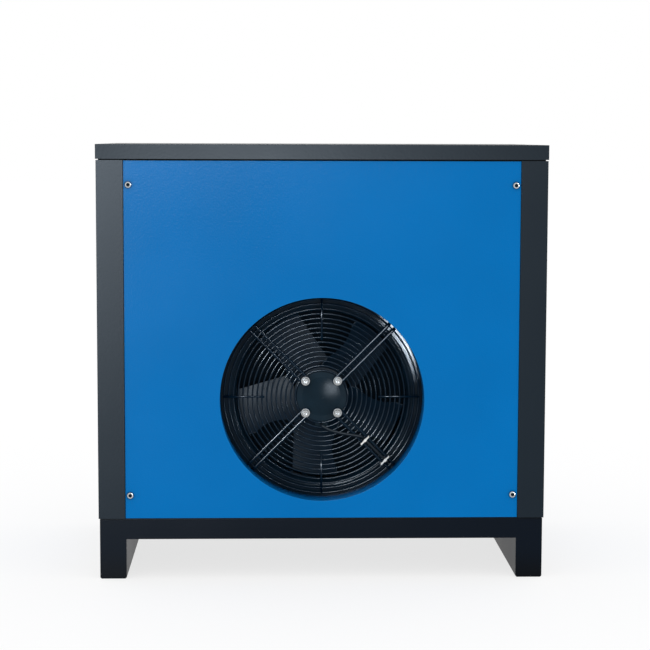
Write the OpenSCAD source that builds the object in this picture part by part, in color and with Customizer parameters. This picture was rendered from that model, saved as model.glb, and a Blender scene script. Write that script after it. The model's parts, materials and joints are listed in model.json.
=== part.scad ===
// Refrigerated air dryer: a sheet-metal cabinet on two skids, with a wall-ring fan in one long side,
// the refrigeration and air circuits inside, and the controls and air ports on the opposite side.
// Millimetres, +Z up, the fan side faces -Y. The origin is the bottom centre of the whole machine.

/* [Cabinet] */
// Width over the corner posts
cabinet_w = 800; // [790:1:900]
// Depth over the corner posts
cabinet_d = 500; // [500:1:560]
// Height from the floor to the top of the cover
cabinet_h = 778; // [778:1:860]
// Width of one face of a corner post
post_w = 47.4; // [44:0.2:50]
// Height of the cover's folded edge
cover_edge = 26; // [22:1:32]
// How far the cover stands out past the posts
cover_lip = 0.8; // [0.5:0.1:2]
// Height of the base, from the floor to the deck's top
base_h = 109.4; // [106:0.2:120]
// Clear height under the base's front and rear rails
base_clear = 71.9; // [60:0.1:80]
// Set-back of the base and width of its groove under the posts
base_step = 2; // [1:0.5:4]

/* [Fan] */
// Height of the fan's axis
fan_z = 323.8; // [318:0.2:330]
// Diameter of the opening in the fan panel
fan_opening_d = 366; // [360:1:370]
// Depth of the collar behind the fan panel
collar_depth = 52; // [48:1:54]
// Swept diameter of the impeller
impeller_d = 300; // [280:1:300]
// Number of blades
blade_count = 5; // [3:1:7]
// Blade angle from the plane of rotation
blade_pitch = 30; // [20:1:36]
// Number of wire rings in the guard
ring_count = 16; // [10:1:16]
// Spacing of the wire rings
ring_pitch = 8.6; // [8:0.1:8.6]
// Circle of the four motor bolts
motor_bolt_pcd = 82; // [80:1:84]

/* [Air circuit] */
// How far the air ports stand out from the rear of the cover
port_reach = 40; // [30:1:60]
// Outer diameter of the air pipes
air_pipe_d = 48.3; // [42:0.1:48.3]
// Bore of the threaded ports
port_bore_d = 44.8; // [42:0.1:44.8]

/* [Hidden] */
$fn = 72;

sheet = 1.2;
frame_sheet = 2;
base_sheet = 3;
fit = 0.05;
gap = 0.4;
half_w = cabinet_w / 2;
half_d = cabinet_d / 2;
post_top = cabinet_h - cover_edge - 2;
shift_y = -port_reach / 2;
CHARCOAL = [0.20, 0.23, 0.26];
BLUE = [0.02, 0.44, 0.72];
BLACK = [0.06, 0.07, 0.08];
STEEL = [0.75, 0.76, 0.78];
ZINC = [0.68, 0.70, 0.72];
COPPER = [0.78, 0.45, 0.26];
BRASS = [0.80, 0.66, 0.34];
WHITE = [0.93, 0.93, 0.90];
GREY = [0.45, 0.47, 0.49];
RED = [0.75, 0.10, 0.08];
GREEN = [0.10, 0.60, 0.20];

// ---------- shared shapes ----------
function unit(v) = v / norm(v);
function across(w) = unit(cross(w, abs(w.z) < 0.9 ? [0, 0, 1] : [1, 0, 0]));

module in_cabinet() translate([0, shift_y, 0]) children();
module along_x(p) translate(p) rotate([0, 90, 0]) children();
module along_y(p) translate(p) rotate([-90, 0, 0]) children();
module fan_axis() translate([0, 0, fan_z]) rotate([-90, 0, 0]) children();
module box(low, high) translate(low) cube(high - low);
module both_sides() for (s = [0, 1]) mirror([s, 0, 0]) children();

module placed(o, x, z) {
    y = cross(z, x);
    multmatrix([[x.x, y.x, z.x, o.x], [x.y, y.y, z.y, o.y], [x.z, y.z, z.z, o.z], [0, 0, 0, 1]])
        children();
}

module tube(r_out, r_in, length) difference() {
    cylinder(h = length, r = r_out);
    translate([0, 0, -1]) cylinder(h = length + 2, r = r_in);
}

module section(d, wall) difference() {
    circle(d / 2);
    if (wall > 0) circle(d / 2 - wall);
}

// A round tube along straight runs joined by true bends.
module pipe(route, d, bend, wall = 0) {
    last = len(route) - 1;
    dirs = [for (i = [0 : last - 1]) unit(route[i + 1] - route[i])];
    turns = [for (i = [0 : last]) i == 0 || i == last ? 0 : acos(dirs[i - 1] * dirs[i])];
    trims = [for (a = turns) bend * tan(a / 2)];
    for (i = [0 : last - 1]) {
        run = norm(route[i + 1] - route[i]) - trims[i] - trims[i + 1];
        if (run > 0.01) placed(route[i] + dirs[i] * trims[i], across(dirs[i]), dirs[i])
            linear_extrude(run) section(d, wall);
    }
    for (i = [1 : last - 1]) if (turns[i] > 0.01) {
        side = unit(dirs[i] - dirs[i - 1] * (dirs[i - 1] * dirs[i]));
        placed(route[i] - dirs[i - 1] * trims[i] + side * bend, -side, cross(dirs[i - 1], side))
            rotate_extrude(angle = turns[i]) translate([bend, 0]) section(d, wall);
    }
}

// A flexible lead: rings swept along the route, with each corner rounded to the bend radius.
corner_steps = 4;
function turn_at(p, i) = acos(unit(p[i] - p[i - 1]) * unit(p[i + 1] - p[i]));
function side_at(p, i) = let (a = unit(p[i] - p[i - 1]), b = unit(p[i + 1] - p[i])) unit(b - a * (a * b));
function corner(p, i, bend) = let (a = unit(p[i] - p[i - 1]), s = side_at(p, i), turn = turn_at(p, i),
    centre = p[i] - a * bend * tan(turn / 2) + s * bend)
    [for (k = [0 : corner_steps]) let (t = turn * k / corner_steps) centre - s * bend * cos(t) + a * bend * sin(t)];
function rounded(p, bend) = [p[0], for (i = [1 : len(p) - 2]) each corner(p, i, bend), p[len(p) - 1]];

module lead(route, d, bend, sides) {
    path = rounded(route, bend);
    n = len(path);
    dirs = [for (i = [0 : n - 1]) unit(path[min(i + 1, n - 1)] - path[max(i - 1, 0)])];
    ups = [for (i = 0, u = across(dirs[0]); i < n;
        i = i + 1, u = i < n ? unit(u - dirs[i] * (u * dirs[i])) : u) u];
    rings = [for (i = [0 : n - 1]) let (v = cross(dirs[i], ups[i])) for (k = [0 : sides - 1])
        path[i] + (ups[i] * cos(k * 360 / sides) + v * sin(k * 360 / sides)) * d / 2];
    walls = [for (i = [0 : n - 2], k = [0 : sides - 1]) let (j = (k + 1) % sides)
        [i * sides + k, (i + 1) * sides + k, (i + 1) * sides + j, i * sides + j]];
    start = [for (k = [0 : sides - 1]) k];
    end = [for (k = [sides - 1 : -1 : 0]) (n - 1) * sides + k];
    polyhedron(points = rings, faces = concat(walls, [start, end]));
}

// ---------- base, posts, cover ----------
skid_x = half_w - base_step;
skid_d = half_d - base_step;
skid_h = base_h - 1.6;
skid_in = skid_x - post_w;
skid_lip = 14;
skid_chamfer = 2.5;
rail_flange = 16;

module skid() {
    difference() {
        translate([0, skid_d, 0]) rotate([90, 0, 0]) linear_extrude(2 * skid_d)
            polygon([[skid_in, skid_chamfer], [skid_in + skid_chamfer, 0], [skid_x - skid_chamfer, 0],
                [skid_x, skid_chamfer], [skid_x, skid_h], [skid_in, skid_h]]);
        box([skid_in + base_sheet, -skid_d + base_sheet, base_sheet],
            [skid_x - base_sheet, skid_d - base_sheet, skid_h - base_sheet]);
        box([skid_in + skid_lip, -skid_d + skid_lip, -1], [skid_x - skid_lip, skid_d - skid_lip, 5]);
    }
}

module base_rail() {
    box([-skid_in - 1, -skid_d, base_clear], [skid_in + 1, -skid_d + base_sheet, skid_h]);
    box([-skid_in - 1, -skid_d, base_clear], [skid_in + 1, -skid_d + rail_flange, base_clear + base_sheet]);
}

module base_frame() color(CHARCOAL) difference() {
    union() {
        both_sides() skid();
        base_rail();
        mirror([0, 1, 0]) base_rail();
        box([-half_w + 4, -half_d + 4, base_h - base_sheet], [half_w - 4, half_d - 4, base_h]);
    }
    for (p = compressor_feet) translate([p.x, p.y, base_h - 10]) cylinder(h = 20, r = 4.6);
}

screw_in = 57.5;
screw_low = 151.4;
screw_high = 706.6;
lip_reach = 74;

module post_section() {
    square([post_w, frame_sheet]);
    translate([post_w - frame_sheet, 0]) square([frame_sheet, 12]);
    translate([post_w - frame_sheet, 12]) square([lip_reach - post_w + frame_sheet, frame_sheet]);
}

// Corner post with its corner at the origin and its faces along +X and +Y.
module post() difference() {
    translate([0, 0, base_h]) linear_extrude(post_top - base_h) {
        post_section();
        mirror([1, -1]) post_section();
    }
    for (z = [screw_low, screw_high]) {
        along_y([screw_in, 5, z]) cylinder(h = 20, r = 3);
        along_x([5, screw_in, z]) cylinder(h = 20, r = 3);
    }
}

module front_posts() color(CHARCOAL) both_sides() translate([-half_w, -half_d, 0]) post();
module rear_posts() mirror([0, 1, 0]) front_posts();

top_in = 4;
module top_frame() color(CHARCOAL) difference() {
    box([-half_w + top_in, -half_d + top_in, post_top],
        [half_w - top_in, half_d - top_in, cabinet_h - 1.5]);
    box([-half_w + top_in + 2, -half_d + top_in + 2, post_top + 2],
        [half_w - top_in - 2, half_d - top_in - 2, cabinet_h]);
    box([-half_w + 36, -half_d + 36, post_top - 1], [half_w - 36, half_d - 36, post_top + 5]);
}

module top_cover() color(CHARCOAL) difference() {
    box([-half_w - cover_lip, -half_d - cover_lip, cabinet_h - cover_edge],
        [half_w + cover_lip, half_d + cover_lip, cabinet_h]);
    box([-half_w - cover_lip + 1.5, -half_d - cover_lip + 1.5, 0],
        [half_w + cover_lip - 1.5, half_d + cover_lip - 1.5, cabinet_h - 1.5]);
}

// ---------- panels ----------
panel_in = 1;
panel_edge = 10;
panel_gap = 0.8;
panel_low = base_h + panel_gap;
panel_high = post_top - panel_gap;

// Folded panel facing -Y at the given depth, with its four screw holes.
module panel(width, depth) difference() {
    box([-width / 2, -depth, panel_low], [width / 2, -depth + panel_edge, panel_high]);
    box([-width / 2 + sheet, -depth + sheet, panel_low + sheet],
        [width / 2 - sheet, -depth + panel_edge + 1, panel_high - sheet]);
    for (s = [-1, 1], z = [screw_low, screw_high])
        along_y([s * (width / 2 + post_w + panel_gap - screw_in), -depth - 1, z]) cylinder(h = 5, r = 3);
}

long_w = cabinet_w - 2 * post_w - 2 * panel_gap;
short_w = cabinet_d - 2 * post_w - 2 * panel_gap;
long_y = half_d - panel_in;
short_x = half_w - panel_in;
collar_r = fan_opening_d / 2;

module fan_panel() color(BLUE) difference() {
    union() {
        panel(long_w, long_y);
        translate([0, -long_y, 0]) fan_axis() cylinder(h = collar_depth, r = collar_r + 1.5);
    }
    translate([0, -long_y - 1, 0]) fan_axis() cylinder(h = collar_depth + 2, r = collar_r);
}

louvre_w = 150;
louvre_pitch = 18;
louvre_rows = 14;
louvre_step = 190;
slot_low = 2.5;
slot_top = 10;
louvre_z = 200;
fascia_x = 210;
fascia_z = 590;
fascia_w = 240;
fascia_h = 170;
fascia_edge = 5;
port_x = 190;
port_spread = 90;
port_z = 680;
drain_x = 250;
drain_z = 150;
gland_x = 290;
gland_z = 150;
cut = 1;

// Drawn facing -Y and turned to the rear, so its left and right swap places.
module rear_panel_flat() {
    difference() {
        panel(long_w, long_y);
        for (c = [-1, 0, 1], k = [0 : louvre_rows - 1])
            translate([c * louvre_step, -long_y, louvre_z + k * louvre_pitch])
                box([-louvre_w / 2, -cut, slot_low], [louvre_w / 2, sheet + cut, slot_top]);
        translate([fascia_x, -long_y, fascia_z])
            box([-fascia_w / 2 + 10, -cut, -fascia_h / 2 + 10], [fascia_w / 2 - 10, 5, fascia_h / 2 - 10]);
        for (s = [-1, 1])
            along_y([-port_x + s * port_spread, -long_y - cut, port_z]) cylinder(h = 5, r = 32);
        along_y([-drain_x, -long_y - cut, drain_z]) cylinder(h = 5, r = 7.5);
        along_y([gland_x, -long_y - cut, gland_z]) cylinder(h = 5, r = 10.4);
    }
    for (c = [-1, 0, 1], k = [0 : louvre_rows - 1])
        translate([c * louvre_step, -long_y, louvre_z + k * louvre_pitch]) louvre_hood();
}

// Pressed hood over one slot: it leans out from the slot's top edge and sheds rain downwards.
hood_out = 7;
hood_drop = 6.8;
module louvre_hood() translate([-louvre_w / 2, 0, 0]) rotate([90, 0, 90]) linear_extrude(louvre_w)
    polygon([[0.6, slot_top + 0.4], [0.6, slot_top + 2], [0, slot_top + 2],
        [-hood_out, slot_top + 2 - hood_drop], [-hood_out, slot_top + 0.4 - hood_drop]]);

module rear_panel() color(BLUE) difference() {
    rotate(180) rear_panel_flat();
    fascia_corners() along_y([0, half_d - 10, 0]) cylinder(h = 30, r = 2.2);
}
module right_panel() color(BLUE) rotate(90) panel(short_w, short_x);
module left_panel() color(BLUE) rotate(-90) panel(short_w, short_x);

head_h = 3;
screw_out = head_h - panel_in;
module panel_screw() {
    difference() {
        union() {
            rotate([0, 180, 0]) cylinder(h = head_h, r1 = 6.2, r2 = 4.6);
            cylinder(h = 17, r = 2.5);
        }
        translate([0, 0, -4]) cylinder(h = 2.4, r = 2.3, $fn = 6);
    }
}

module fascia_screw() {
    difference() {
        union() {
            rotate([0, 180, 0]) cylinder(h = 2, r1 = 3.6, r2 = 2.8);
            cylinder(h = 10, r = 1.9);
        }
        translate([0, 0, -3]) cylinder(h = 2.2, r = 1.4, $fn = 6);
    }
}

module fascia_corners() for (sx = [-1, 1], sz = [-1, 1])
    translate([fascia_cx + sx * (fascia_w / 2 - fascia_edge), 0, fascia_z + sz * (fascia_h / 2 - fascia_edge)])
        children();

module screw_row(depth) for (s = [-1, 1], z = [screw_low, screw_high])
    along_y([s * depth[0], -depth[1], z]) panel_screw();

module panel_screws() color(STEEL) {
    for (a = [0, 180]) rotate(a) screw_row([half_w - screw_in, long_y]);
    for (a = [90, -90]) rotate(a) screw_row([half_d - screw_in, short_x]);
    fascia_corners() translate([0, fascia_y + 3, 0]) rotate([90, 0, 0]) fascia_screw();
}

// ---------- fan ----------
flange_y = -long_y + collar_depth;
ring_half = 212;
ring_plate = 2.5;
venturi_r = impeller_d / 2 + 4;
wire_front = flange_y - 8;
spoke_y = wire_front - 2.5;
ring_d = 3;
spoke_d = 5;
first_ring = 47.5;
bolt_r = motor_bolt_pcd / 2;
spoke_half = 6.25;
spoke_end = 180;
motor_y = spoke_y + spoke_d / 2;

// Middle of the gap between two neighbouring wire rings.
function gap_r(k) = first_ring + ring_pitch * (k + 0.5);

module fan_ring() color(BLACK) translate([0, flange_y, 0]) fan_axis() difference() {
    union() {
        translate([-ring_half, -ring_half, 0]) cube([2 * ring_half, 2 * ring_half, ring_plate]);
        cylinder(h = 62, r = venturi_r + 2.5);
        cylinder(h = 14, r = venturi_r + 14);
    }
    translate([0, 0, -1]) cylinder(h = 70, r = venturi_r);
    translate([0, 0, -0.01]) rotate_extrude() difference() {
        square([venturi_r + 12, 12]);
        translate([venturi_r + 12, 12]) circle(12);
    }
    rotate(45) translate([gap_r(14), 0, -1]) cylinder(h = 10, r = 3.2);
}

cowl_t = 1;
condenser_y0 = -116;
condenser_y1 = -50;
coil_front = condenser_y0 + 21;
coil_rear = condenser_y0 + 45;
condenser_z0 = 119;
condenser_z1 = 529;
module fan_cowl() color(ZINC) difference() {
    box([-ring_half, flange_y + ring_plate, fan_z - ring_half],
        [ring_half, condenser_y0 - 0.5, fan_z + ring_half]);
    box([-ring_half + cowl_t, flange_y, fan_z - ring_half + cowl_t],
        [ring_half - cowl_t, condenser_y0, fan_z + ring_half - cowl_t]);
    along_x([ring_half - 5, lead_y, lead_z]) cylinder(h = 10, r = 3.2);
}

module hairpin() {
    legs = spoke_end - bolt_r;
    for (s = [-1, 1]) translate([bolt_r, s * spoke_half, 0]) rotate([0, 90, 0])
        cylinder(h = legs, r = spoke_d / 2);
    translate([bolt_r, 0, 0]) rotate(90) rotate_extrude(angle = 180) translate([spoke_half, 0])
        circle(spoke_d / 2);
    for (s = [-1, 1]) translate([spoke_end, s * spoke_half, -spoke_d / 2])
        cylinder(h = flange_y - motor_y + spoke_d, r = spoke_d / 2);
}

module wire_ring(r) tube(r + ring_d / 2, r - ring_d / 2, ring_d);

module fan_guard() color(BLACK) fan_axis() {
    for (a = [45 : 90 : 315]) rotate(a) translate([0, 0, spoke_y]) hairpin();
    for (a = [0 : 90 : 270]) rotate(a) translate([0, 0, wire_front - 0.6]) translate([102, -1.75, -2.4])
        cube([76, 3.5, 3.5]);
    for (k = [0 : ring_count - 1]) translate([0, 0, wire_front - 0.4]) wire_ring(first_ring + ring_pitch * k);
}

module motor_bolts() color(STEEL) fan_axis() for (a = [45 : 90 : 315])
    rotate(a) translate([bolt_r, 0, 0]) {
        translate([0, 0, motor_y - spoke_d - 1.4]) cylinder(h = 1.4, r = 8);
        translate([0, 0, motor_y - spoke_d - 5.4]) cylinder(h = 4, r = 5.8, $fn = 6);
        translate([0, 0, motor_y - spoke_d]) cylinder(h = spoke_d + 9, r = 3);
    }

shaft_r = 6;
seat = 0.02;
stator_end = motor_y + 69;
stub_end = 56;
crown_edge = 35;
crown_h = 3.5;
crown_r = (crown_edge * crown_edge + crown_h * crown_h) / (2 * crown_h);
module motor_stator() color(BLACK) fan_axis() difference() {
    union() {
        translate([0, 0, motor_y]) cylinder(h = 10, r = 45);
        intersection() {
            translate([0, 0, motor_y - crown_h + crown_r]) sphere(r = crown_r);
            translate([0, 0, motor_y - crown_h]) cylinder(h = crown_h + 0.5, r = crown_edge);
        }
        translate([-11, 20, motor_y + 3.4]) cube([22, stub_end - 20, 6.4]);
        translate([0, 0, motor_y + 9]) cylinder(h = 6, r = 30);
        translate([0, 0, motor_y + 14]) cylinder(h = stator_end - motor_y - 14, r = 22);
    }
    translate([0, 0, motor_y + 14]) cylinder(h = 80, r = 16);
    for (a = [45 : 90 : 315]) rotate(a) translate([bolt_r, 0, motor_y - 1]) cylinder(h = 10, r = 3.3);
}

module motor_bearings() color(STEEL) fan_axis() for (z = [motor_y + 16, stator_end - 12])
    translate([0, 0, z]) tube(16 - seat, shaft_r + fit, 10);

module motor_shaft() color(STEEL) fan_axis() translate([0, 0, motor_y + 15]) cylinder(h = 66.5, r = shaft_r);

shell_y0 = motor_y + 17;
shell_y1 = motor_y + 82;
module rotor_shell() color(BLACK) fan_axis() difference() {
    translate([0, 0, shell_y0]) cylinder(h = shell_y1 - shell_y0, r = 46);
    translate([0, 0, shell_y0 - 1]) cylinder(h = stator_end - shell_y0 + 3, r = 42.5);
    translate([0, 0, shell_y0]) cylinder(h = 55, r = 24);
    translate([0, 0, stator_end]) cylinder(h = motor_y + 81.5 - stator_end, r = shaft_r + seat);
}

camber_r = 150;
module blade() intersection() {
    rotate([blade_pitch, 0, 0]) translate([40, 0, -camber_r]) rotate([0, 90, 0])
        tube(camber_r + 1.2, camber_r - 1.2, 110);
    difference() {
        translate([44, -34, -27]) cube([110, 80, 54]);
        translate([97, -98, -30]) cylinder(h = 60, r = 74);
    }
    translate([0, 0, -30]) cylinder(h = 60, r = impeller_d / 2);
}

hub_mid = shell_y0 + 34;
module fan_impeller() color(BLACK) fan_axis() translate([0, 0, hub_mid]) difference() {
    union() {
        translate([0, 0, -22]) cylinder(h = 44, r = 49.5);
        for (k = [0 : blade_count - 1]) rotate(k * 360 / blade_count + 20) blade();
    }
    translate([0, 0, -30]) cylinder(h = 60, r = 46 + seat);
}

// The motor lead leaves the terminal stub between the first two rings, is tied into the lower
// right hairpin, goes back through the ring plate and the cowl, and ends in the electrical box.
lead_d = 5;
lead_front = flange_y - 16;
lead_mid = flange_y - 11.6;
lead_y = flange_y + 14;
lead_side = 236;
lead_z = fan_z - gap_r(14) * sqrt(0.5);
lead_over = 600;
lead_in_y = 200;
function on_spoke(r, y) = [r * sqrt(0.5), y, fan_z - r * sqrt(0.5)];
module motor_cable() color(BLACK) lead([
    [0, motor_y + 3.4, fan_z - gap_r(0)], [0, lead_front, fan_z - gap_r(0)],
    [14, lead_front, fan_z - 60], [36, lead_front, fan_z - 66],
    on_spoke(101.6, lead_front), on_spoke(108.1, lead_mid), on_spoke(gap_r(14), lead_mid),
    on_spoke(gap_r(14), lead_y), [lead_side, lead_y, lead_z], [lead_side, lead_y, lead_over],
    [-80, lead_y, lead_over], [-80, lead_in_y, lead_over], [-112, lead_in_y, lead_over]
], lead_d, 5, 10);

module cable_tie() {
    difference() {
        translate([-2, -10.5, -5.4]) cube([4, 21, 10.8]);
        translate([-3, -9.3, -4.2]) cube([6, 18.6, 8.4]);
    }
    translate([-3, -3, -8.9]) cube([6, 6, 4.5]);
    translate([-1.6, -16, -8]) cube([3.2, 14, 1.2]);
}

module cable_ties() color(WHITE) fan_axis() rotate(45) for (r = [gap_r(7), gap_r(13)])
    translate([r, 0, spoke_y]) cable_tie();

// ---------- condenser ----------
coil_rows = 10;
coil_step = 38;
coil_top = 495;
coil_low = coil_top - (coil_rows - 1) * coil_step;
coil_x = 206;
coil_d = 9.5;
coil = [for (k = [0 : coil_rows - 1]) let (z = coil_top - coil_step * k, a = k % 2 == 0 ? coil_front : coil_rear,
    b = coil_front + coil_rear - a)
    each [[k == 0 ? 232 : coil_x, a, z], [-coil_x, a, z], [-coil_x, b, z], [k == coil_rows - 1 ? 232 : coil_x, b, z]]];

module condenser_coil() color(COPPER) pipe(coil, coil_d, 11.9);

fin_x = 186;
module condenser_fins() color(ZINC) difference() {
    box([-fin_x, condenser_y0 + 3, condenser_z0 + 4], [fin_x, condenser_y1 - 3, condenser_z1 - 4]);
    for (k = [0 : coil_rows - 1], y = [coil_front, coil_rear])
        along_x([-fin_x - 1, y, coil_top - coil_step * k]) cylinder(h = 2 * fin_x + 2, r = coil_d / 2 + gap);
}

module condenser_plates() color(ZINC) both_sides() difference() {
    union() {
        box([fin_x + 0.2, condenser_y0, condenser_z0 - 9.6], [fin_x + 2.2, condenser_y1, condenser_z1]);
        box([fin_x + 0.2, condenser_y0, condenser_z0 - 9.6], [fin_x + 25, condenser_y1, condenser_z0 - 7.6]);
    }
    for (k = [0 : coil_rows - 1], y = [coil_front, coil_rear])
        along_x([fin_x - 1, y, coil_top - coil_step * k]) cylinder(h = 5, r = coil_d / 2 + 0.2);
}

// ---------- compressor ----------
comp = [-190, 110];
comp_r = 85;
comp_z0 = 136;
comp_top = 400;
foot_half = 82;
compressor_feet = [for (sx = [-1, 1], sy = [-1, 1]) [comp.x + sx * foot_half, comp.y + sy * foot_half]];

module compressor_shell() color(BLACK) {
    difference() {
        union() {
            translate([comp.x, comp.y, comp_z0 + 30]) cylinder(h = comp_top - comp_z0 - 64, r = comp_r);
            translate([comp.x, comp.y, comp_top - 35]) intersection() {
                cylinder(h = 35, r = comp_r);
                translate([0, 0, -68]) sphere(r = 103);
            }
            translate([comp.x, comp.y, comp_z0]) cylinder(h = 31, r1 = comp_r - 22, r2 = comp_r);
            translate([comp.x, comp.y, 210]) cylinder(h = 10, r = comp_r + 2);
            translate([comp.x, 62, comp_top - 30]) cylinder(h = 26, r = 7);
            along_x([comp.x + comp_r - 10, comp.y, 300]) cylinder(h = 20, r = 11);
            difference() {
                box([comp.x - 100, comp.y - 100, comp_z0], [comp.x + 100, comp.y + 100, comp_z0 + 5]);
                for (a = [0 : 90 : 270]) translate([comp.x, comp.y, 0]) rotate(a)
                    translate([118, 0, 0]) cylinder(h = 300, r = 56);
            }
        }
        for (p = compressor_feet) translate([p.x, p.y, comp_z0 - 5]) cylinder(h = 20, r = 7);
    }
}

module compressor_grommets() color([0.1, 0.1, 0.1]) for (p = compressor_feet)
    translate([p.x, p.y, base_h]) {
        tube(14, 5, comp_z0 - base_h);
        translate([0, 0, comp_z0 - base_h - 1]) tube(6.6, 5, 8);
    }

module compressor_bolts() color(STEEL) for (p = compressor_feet) translate([p.x, p.y, 0]) {
    translate([0, 0, base_h - 16]) cylinder(h = 56, r = 4);
    translate([0, 0, base_h - base_sheet - 6]) cylinder(h = 6, r = 7, $fn = 6);
    translate([0, 0, comp_z0 + 7]) cylinder(h = 1.6, r = 12);
    translate([0, 0, comp_z0 + 8.6]) cylinder(h = 6, r = 7, $fn = 6);
}

module terminal_cover() color(GREY) difference() {
    box([comp.x - 112, comp.y - 30, 250], [comp.x - comp_r + 8, comp.y + 30, 330]);
    translate([comp.x, comp.y, 200]) cylinder(h = 200, r = comp_r + gap);
}

// ---------- refrigerant circuit ----------
bend = 18;
high_z = 560;
drier = [-60, 0];
discharge_top = comp_top - 4;
suction_x = comp.x + comp_r + 10;
module discharge_pipe() color(COPPER) pipe([
    [comp.x, 62, discharge_top], [comp.x, 62, high_z], [comp.x, coil_front, high_z],
    [262, coil_front, high_z], [262, coil_front, coil_top], [232, coil_front, coil_top]],
    coil_d, bend, 0.8);

module liquid_pipe() color(COPPER) pipe([
    [232, coil_front, coil_low], [262, coil_front, coil_low], [262, -32, coil_low],
    [drier.x, -32, coil_low], [drier.x, drier.y, coil_low], [drier.x, drier.y, 200]],
    coil_d, 14, 0.8);

module filter_drier() color([0.15, 0.35, 0.55]) translate([drier.x, drier.y, 200]) {
    cylinder(h = 14, r1 = 7, r2 = 26);
    translate([0, 0, 14]) cylinder(h = 122, r = 26);
    translate([0, 0, 136]) cylinder(h = 14, r1 = 26, r2 = 7);
}

valve_z = 430;
module expansion_pipe() color(COPPER) {
    pipe([[drier.x, drier.y, 350], [drier.x, drier.y, valve_z], [-8, 0, valve_z]], 6.4, 14);
    along_x([24, 0, valve_z]) cylinder(h = 36, r = 3.2);
}

module expansion_valve() color(BRASS) {
    along_x([-8, 0, valve_z]) cylinder(h = 32, r = 9, $fn = 6);
    translate([8, 0, valve_z]) cylinder(h = 26, r = 7);
    translate([8, 0, valve_z + 26]) cylinder(h = 9, r = 17);
    translate([8, 0, valve_z - 20]) cylinder(h = 20, r = 7.5, $fn = 6);
}

module suction_pipe() color(COPPER) pipe([
    [60, comp.y, high_z], [-30, comp.y, high_z], [-30, comp.y, 300], [suction_x, comp.y, 300]],
    16, 24, 1);

module hot_gas_pipe() color(COPPER) {
    pipe([[20, coil_front + coil_d / 2 - 0.1, high_z], [20, -40, high_z]], 8, bend);
    pipe([[20, 4, high_z], [20, 40, high_z], [60, 40, high_z]], 8, 14);
}

module hot_gas_valve() color(BRASS) {
    along_y([20, -40, high_z]) cylinder(h = 44, r = 10, $fn = 6);
    translate([20, -18, high_z]) cylinder(h = 22, r = 9);
    translate([20, -18, high_z + 22]) cylinder(h = 24, r = 17);
}

module pressure_switch() color(GREY) translate([comp.x, -20, high_z + coil_d / 2 - 0.1]) {
    cylinder(h = 16, r = 4);
    translate([0, 0, 16]) cylinder(h = 10, r = 9, $fn = 6);
    translate([0, 0, 26]) cylinder(h = 30, r = 15);
}

// ---------- air circuit ----------
hx_low = [60, -20, 370];
hx_high = [320, 160, 610];
wrap = 13;
hx_mid_y = 65;
module heat_exchanger() color(ZINC) difference() {
    box(hx_low + [wrap, wrap, wrap], hx_high - [wrap, wrap, wrap]);
    for (k = [0 : 8]) translate([hx_low.x + wrap + 20 + 24 * k, hx_low.y, hx_low.z + wrap + 60])
        cube([6, 200, hx_high.z - hx_low.z - 2 * wrap - 120]);
}

module insulation_jacket() color([0.12, 0.13, 0.14]) difference() {
    box(hx_low, hx_high);
    box(hx_low + [wrap, wrap, wrap] - [0.4, 0.4, 0.4], hx_high - [wrap, wrap, wrap] + [0.4, 0.4, 0.4]);
    for (s = [-1, 1]) translate([port_x + s * port_spread, hx_mid_y, hx_high.z - 20])
        cylinder(h = 30, r = air_pipe_d / 2 + gap);
    translate([port_x, hx_mid_y, hx_low.z - 5]) cylinder(h = 20, r = 14.4);
}

port_end = half_d + screw_out + port_reach;
socket_r = 30;
socket_l = 52;
module air_pipe(x) {
    pipe([[x, port_end - socket_l + 6, port_z], [x, hx_mid_y, port_z], [x, hx_mid_y, hx_high.z - wrap]],
        air_pipe_d, 48, 3);
    along_y([x, port_end - socket_l, port_z]) difference() {
        cylinder(h = socket_l, r = socket_r);
        translate([0, 0, -1]) cylinder(h = 7, r = air_pipe_d / 2 - 1);
        translate([0, 0, 5]) cylinder(h = socket_l, r = port_bore_d / 2);
    }
}
module inlet_pipe() color(CHARCOAL) air_pipe(port_x + port_spread);
module outlet_pipe() color(CHARCOAL) air_pipe(port_x - port_spread);

sep_r = 57;
sep_z0 = 196;
module water_separator() color(GREY) translate([port_x, hx_mid_y, 0]) {
    translate([0, 0, sep_z0]) cylinder(h = 18, r1 = 30, r2 = sep_r);
    translate([0, 0, sep_z0 + 17]) cylinder(h = 112, r = sep_r);
    translate([0, 0, sep_z0 + 128]) cylinder(h = 20, r1 = sep_r, r2 = 20);
    translate([0, 0, sep_z0 + 147]) cylinder(h = hx_low.z + wrap - sep_z0 - 147, r = 14);
    translate([0, 0, drain_z + 13]) cylinder(h = sep_z0 - drain_z - 12, r = 8);
    difference() {
        translate([0, 0, base_h]) cylinder(h = 3, r = 62);
        translate([0, 0, base_h - 1]) cylinder(h = 5, r = 50);
    }
    for (a = [60 : 120 : 300]) rotate(a) translate([sep_r - 3, -8, base_h]) cube([4, 16, sep_z0 + 40 - base_h]);
}

module ball_valve() color(BRASS) {
    translate([port_x, hx_mid_y, drain_z]) sphere(r = 13.2);
    along_y([port_x, hx_mid_y, drain_z]) cylinder(h = 40, r = 10);
    along_y([port_x, hx_mid_y + 38, drain_z]) cylinder(h = 14, r = 13, $fn = 6);
    along_x([port_x + 8, hx_mid_y + 26, drain_z]) cylinder(h = 22, r = 5);
    along_x([port_x + 26.6, hx_mid_y + 26, drain_z]) cylinder(h = 5, r = 8, $fn = 6);
}

lever_x = port_x + 22;
module valve_lever() color(RED) translate([lever_x, hx_mid_y + 26, drain_z]) difference() {
    union() {
        rotate([0, 90, 0]) cylinder(h = 4, r = 8);
        box([1, -44, -6], [3, 0, 6]);
        box([-1, -44, -7], [5, -16, 7]);
    }
    translate([-10, 0, 0]) rotate([0, 90, 0]) cylinder(h = 20, r = 5 + fit);
}

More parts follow.
